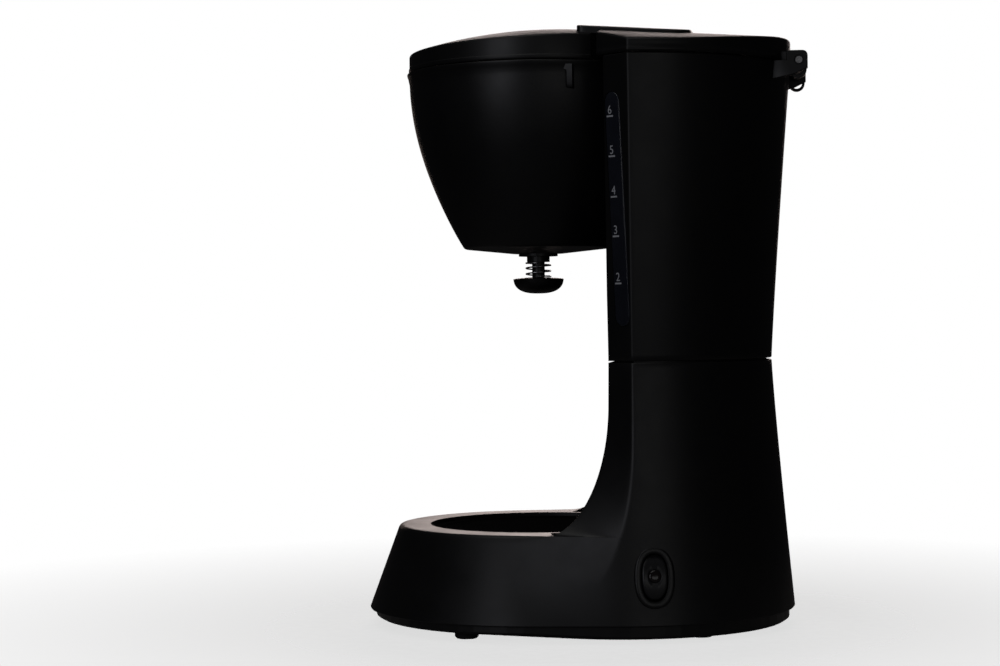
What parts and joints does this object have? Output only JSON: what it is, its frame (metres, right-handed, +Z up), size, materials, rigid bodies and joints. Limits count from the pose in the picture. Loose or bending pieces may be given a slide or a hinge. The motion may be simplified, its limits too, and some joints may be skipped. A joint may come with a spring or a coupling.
{
  "type": "drip coffee maker",
  "caption": "Compact drip coffee maker: round base with hotplate, water column with a level window, fixed bucket with a lift-out filter and sprung drip-stop, hinged lid.",
  "frame": {"origin": "on the surface it stands on, under the middle of the whole machine's width and depth", "axes": "+Z up, +Y to the rear where the lid is hinged, +X to the side with the switch and the water window"},
  "size_m": [0.157, 0.2008, 0.269],
  "materials": {
    "housing_plastic": "fine matt grain, near black",
    "satin_plastic": "satin, near black",
    "button_plastic": "satin gloss, near black",
    "basket_plastic": "smooth satin, near black",
    "filter_plastic": "satin, dark grey",
    "cap_rubber": "smooth, near black",
    "seal_rubber": "matt dark rubber",
    "foot_rubber": "matt black rubber",
    "gasket_silicone": "white silicone",
    "hotplate_coating": "non-stick coating, near black",
    "heater_aluminium": "as cast",
    "steel": "plain steel",
    "thermostat_plastic": "dark moulding",
    "milky_plastic": "natural polypropylene",
    "hose_silicone": "milky silicone",
    "window_clear": "smoked clear plastic",
    "mark_print": "light grey print",
    "lens_red": "dark translucent lens, unlit",
    "brass_parts": "plain brass",
    "wire_sleeve": "glass-fibre sleeve",
    "filter_screen": "fine nylon mesh"
  },
  "bodies": {
    "machine": {"lower_housing": "housing_plastic", "bottom_cover": "satin_plastic", "rubber_feet": "foot_rubber", "bottom_cover_screws": "steel", "hotplate": "hotplate_coating", "hotplate_gasket": "gasket_silicone", "heater_casting": "heater_aluminium", "heater_water_tube": "heater_aluminium", "heating_rod": "steel", "heater_bracket": "steel", "heater_screws": "steel", "thermostat": "thermostat_plastic", "thermal_fuses": "milky_plastic", "inlet_hose": "hose_silicone", "outlet_hose": "hose_silicone", "hose_clips": "steel", "check_valve_body": "milky_plastic", "upper_housing": "housing_plastic", "housing_screws": "steel", "water_window": "window_clear", "window_seal": "seal_rubber", "level_marks": "mark_print", "tank_strainer": "satin_plastic", "outlet_seal": "seal_rubber", "riser_seal": "seal_rubber", "riser_tube": "milky_plastic", "riser_nozzle": "satin_plastic", "switch_bezel": "satin_plastic", "switch_body": "thermostat_plastic", "switch_terminals": "brass_parts", "indicator_lamp": "lens_red", "terminal_block": "milky_plastic", "inner_wires": "wire_sleeve", "cord_gland": "satin_plastic", "hinge_pin": "steel", "hinge_hook": "satin_plastic"},
    "lid": {"lid_shell": "housing_plastic", "lid_panel": "satin_plastic", "lid_channel": "satin_plastic", "spray_disc": "steel"},
    "basket": {"filter_basket": "basket_plastic", "valve_spring": "steel"},
    "filter": {"filter_frame": "filter_plastic", "filter_mesh": "filter_screen"},
    "drip_stop": {"valve_stem": "basket_plastic", "valve_seal": "seal_rubber", "valve_cap": "cap_rubber"},
    "rocker": {"rocker_button": "button_plastic", "button_lens": "lens_red"},
    "ball": {"check_ball": "steel"}
  },
  "joints": [
    {"name": "lid_hinge", "type": "hinge", "parent": "machine", "child": "lid", "pos_m": [0, 0.0966, 0.2496], "axis": [-1, 0, 0], "range_deg": [0, 95]},
    {"name": "basket_lift", "type": "slide", "parent": "machine", "child": "basket", "axis": [0, 0, 1], "range_m": [0, 0.003]},
    {"name": "filter_lift", "type": "slide", "parent": "basket", "child": "filter", "axis": [0, 0, 1], "range_m": [0, 0.003]},
    {"name": "drip_stop_press", "type": "slide", "parent": "basket", "child": "drip_stop", "axis": [0, 0, 1], "range_m": [0, 0.005], "stiffness_N_per_m": 120, "springref_m": -0.006, "deforming": ["valve_spring"]},
    {"name": "switch_rock", "type": "hinge", "parent": "machine", "child": "rocker", "pos_m": [0.06668, 0.03211, 0.02739], "axis": [-0.2334, 0.9724, 0], "range_deg": [0, 10]},
    {"name": "check_ball_lift", "type": "slide", "parent": "machine", "child": "ball", "axis": [0, 0, 1], "range_m": [0, 0.0015]}
  ]
}
